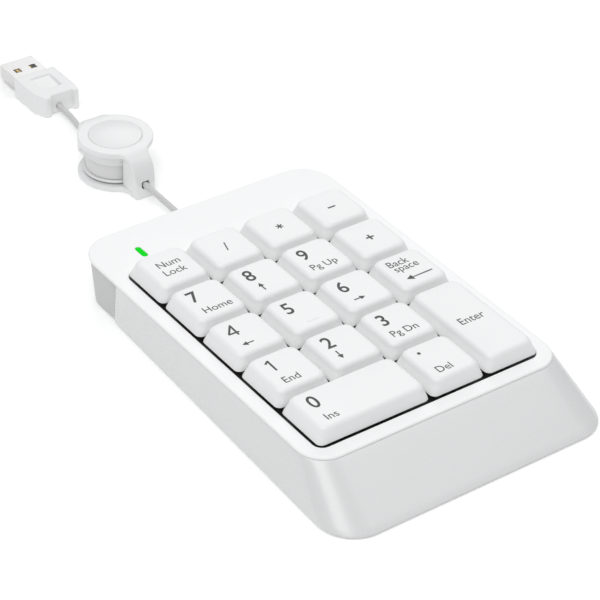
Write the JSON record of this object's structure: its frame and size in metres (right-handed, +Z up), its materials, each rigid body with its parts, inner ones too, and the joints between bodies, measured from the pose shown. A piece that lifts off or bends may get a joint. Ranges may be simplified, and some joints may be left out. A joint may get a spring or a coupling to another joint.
{
  "type": "numeric keypad",
  "caption": "Slim wired numeric keypad with sculpted keys, a sloping front apron, a status light, a two-way cable reel and a USB plug.",
  "frame": {"origin": "on the desk, at the middle of the keypad housing", "axes": "+X to the user's right, +Y away from the user towards the cable, +Z up"},
  "size_m": [0.0944, 0.2537, 0.0188],
  "materials": {
    "white_plastic": "fine satin moulding",
    "key_plastic": "fine satin moulding",
    "grey_plastic": "smooth, slightly glossy",
    "housing_plastic": "fine moulded grain",
    "frame_plastic": "plain moulding",
    "rubber": "soft non-slip rubber",
    "steel": "zinc plated",
    "sheet_steel": "rolled sheet",
    "silicone": "translucent silicone",
    "film": "thin polyester film",
    "circuit_board": "lacquered board",
    "black_plastic": "moulded epoxy",
    "led_green": "clear tinted resin",
    "ivory_plastic": "plain nylon",
    "wire_cover": "thin coloured insulation",
    "cable_jacket": "soft vinyl jacket",
    "plug_metal": "nickel plated sheet",
    "contact_gold": "gold flashed"
  },
  "bodies": {
    "keypad": {"top_plate": "white_plastic", "outer_skirt": "grey_plastic", "lower_housing": "housing_plastic", "rubber_feet": "rubber", "case_screws": "steel", "key_frame": "frame_plastic", "dome_sheet": "silicone", "membrane_top": "film", "membrane_spacer": "film", "membrane_bottom": "film", "backing_plate": "sheet_steel", "stack_screws": "steel", "controller_board": "circuit_board", "controller_chip": "black_plastic", "status_led": "led_green", "light_pipe": "led_green", "tail_clamp": "frame_plastic", "board_screws": "steel", "cable_connector": "ivory_plastic", "lead_wires": "wire_cover", "strain_relief": "cable_jacket", "keypad_lead": "cable_jacket", "reel_upper_shell": "white_plastic", "reel_lower_shell": "white_plastic", "reel_cap": "white_plastic", "reel_spring": "sheet_steel", "reel_axle": "steel", "plug_lead": "cable_jacket", "plug_grip": "white_plastic", "plug_shell": "plug_metal", "plug_tongue": "white_plastic", "plug_contacts": "contact_gold"},
    "key_num_lock": {"key_num_lock": "key_plastic"},
    "key_divide": {"key_divide": "key_plastic"},
    "key_multiply": {"key_multiply": "key_plastic"},
    "key_minus": {"key_minus": "key_plastic"},
    "key_7": {"key_7": "key_plastic"},
    "key_8": {"key_8": "key_plastic"},
    "key_9": {"key_9": "key_plastic"},
    "key_plus": {"key_plus": "key_plastic"},
    "key_4": {"key_4": "key_plastic"},
    "key_5": {"key_5": "key_plastic"},
    "key_6": {"key_6": "key_plastic"},
    "key_backspace": {"key_backspace": "key_plastic"},
    "key_1": {"key_1": "key_plastic"},
    "key_2": {"key_2": "key_plastic"},
    "key_3": {"key_3": "key_plastic"},
    "key_enter": {"key_enter": "key_plastic"},
    "key_0": {"key_0": "key_plastic"},
    "key_decimal": {"key_decimal": "key_plastic"},
    "enter_wire": {"enter_stabiliser": "steel"},
    "zero_wire": {"zero_stabiliser": "steel"},
    "drum": {"reel_drum": "white_plastic", "wound_cable": "cable_jacket"}
  },
  "joints": [
    {"name": "press_num_lock", "type": "slide", "parent": "keypad", "child": "key_num_lock", "axis": [0, 0, -1], "range_m": [0, 0.0028], "stiffness_N_per_m": 150, "springref_m": -0.0012, "deforming": ["dome_sheet"]},
    {"name": "press_divide", "type": "slide", "parent": "keypad", "child": "key_divide", "axis": [0, 0, -1], "range_m": [0, 0.0028], "stiffness_N_per_m": 150, "springref_m": -0.0012, "deforming": ["dome_sheet"]},
    {"name": "press_multiply", "type": "slide", "parent": "keypad", "child": "key_multiply", "axis": [0, 0, -1], "range_m": [0, 0.0028], "stiffness_N_per_m": 150, "springref_m": -0.0012, "deforming": ["dome_sheet"]},
    {"name": "press_minus", "type": "slide", "parent": "keypad", "child": "key_minus", "axis": [0, 0, -1], "range_m": [0, 0.0028], "stiffness_N_per_m": 150, "springref_m": -0.0012, "deforming": ["dome_sheet"]},
    {"name": "press_7", "type": "slide", "parent": "keypad", "child": "key_7", "axis": [0, 0, -1], "range_m": [0, 0.0028], "stiffness_N_per_m": 150, "springref_m": -0.0012, "deforming": ["dome_sheet"]},
    {"name": "press_8", "type": "slide", "parent": "keypad", "child": "key_8", "axis": [0, 0, -1], "range_m": [0, 0.0028], "stiffness_N_per_m": 150, "springref_m": -0.0012, "deforming": ["dome_sheet"]},
    {"name": "press_9", "type": "slide", "parent": "keypad", "child": "key_9", "axis": [0, 0, -1], "range_m": [0, 0.0028], "stiffness_N_per_m": 150, "springref_m": -0.0012, "deforming": ["dome_sheet"]},
    {"name": "press_plus", "type": "slide", "parent": "keypad", "child": "key_plus", "axis": [0, 0, -1], "range_m": [0, 0.0028], "stiffness_N_per_m": 150, "springref_m": -0.0012, "deforming": ["dome_sheet"]},
    {"name": "press_4", "type": "slide", "parent": "keypad", "child": "key_4", "axis": [0, 0, -1], "range_m": [0, 0.0028], "stiffness_N_per_m": 150, "springref_m": -0.0012, "deforming": ["dome_sheet"]},
    {"name": "press_5", "type": "slide", "parent": "keypad", "child": "key_5", "axis": [0, 0, -1], "range_m": [0, 0.0028], "stiffness_N_per_m": 150, "springref_m": -0.0012, "deforming": ["dome_sheet"]},
    {"name": "press_6", "type": "slide", "parent": "keypad", "child": "key_6", "axis": [0, 0, -1], "range_m": [0, 0.0028], "stiffness_N_per_m": 150, "springref_m": -0.0012, "deforming": ["dome_sheet"]},
    {"name": "press_backspace", "type": "slide", "parent": "keypad", "child": "key_backspace", "axis": [0, 0, -1], "range_m": [0, 0.0028], "stiffness_N_per_m": 150, "springref_m": -0.0012, "deforming": ["dome_sheet"]},
    {"name": "press_1", "type": "slide", "parent": "keypad", "child": "key_1", "axis": [0, 0, -1], "range_m": [0, 0.0028], "stiffness_N_per_m": 150, "springref_m": -0.0012, "deforming": ["dome_sheet"]},
    {"name": "press_2", "type": "slide", "parent": "keypad", "child": "key_2", "axis": [0, 0, -1], "range_m": [0, 0.0028], "stiffness_N_per_m": 150, "springref_m": -0.0012, "deforming": ["dome_sheet"]},
    {"name": "press_3", "type": "slide", "parent": "keypad", "child": "key_3", "axis": [0, 0, -1], "range_m": [0, 0.0028], "stiffness_N_per_m": 150, "springref_m": -0.0012, "deforming": ["dome_sheet"]},
    {"name": "press_enter", "type": "slide", "parent": "keypad", "child": "key_enter", "axis": [0, 0, -1], "range_m": [0, 0.0028], "stiffness_N_per_m": 150, "springref_m": -0.0012, "deforming": ["dome_sheet"]},
    {"name": "press_0", "type": "slide", "parent": "keypad", "child": "key_0", "axis": [0, 0, -1], "range_m": [0, 0.0028], "stiffness_N_per_m": 150, "springref_m": -0.0012, "deforming": ["dome_sheet"]},
    {"name": "press_decimal", "type": "slide", "parent": "keypad", "child": "key_decimal", "axis": [0, 0, -1], "range_m": [0, 0.0028], "stiffness_N_per_m": 150, "springref_m": -0.0012, "deforming": ["dome_sheet"]},
    {"name": "enter_wire_turn", "type": "hinge", "parent": "keypad", "child": "enter_wire", "pos_m": [0.02973, -0.02693, 0.0104], "axis": [0, -1, 0], "range_deg": [0, 23.3]},
    {"name": "zero_wire_turn", "type": "hinge", "parent": "keypad", "child": "zero_wire", "pos_m": [-0.01905, -0.03761, 0.0104], "axis": [-1, 0, 0], "range_deg": [0, 23.3]},
    {"name": "drum_turn", "type": "hinge", "parent": "keypad", "child": "drum", "pos_m": [0, 0.1155, 0.007], "axis": [0, 0, 1], "range_deg": [0, 2160], "stiffness_Nm_per_rad": 0.00016, "springref_deg": -1432.39, "deforming": ["reel_spring"]}
  ],
  "couplings": [
    {"joint": "enter_wire_turn", "follows": "press_enter", "rad_per_m": 143.83},
    {"joint": "zero_wire_turn", "follows": "press_0", "rad_per_m": 143.83}
  ]
}
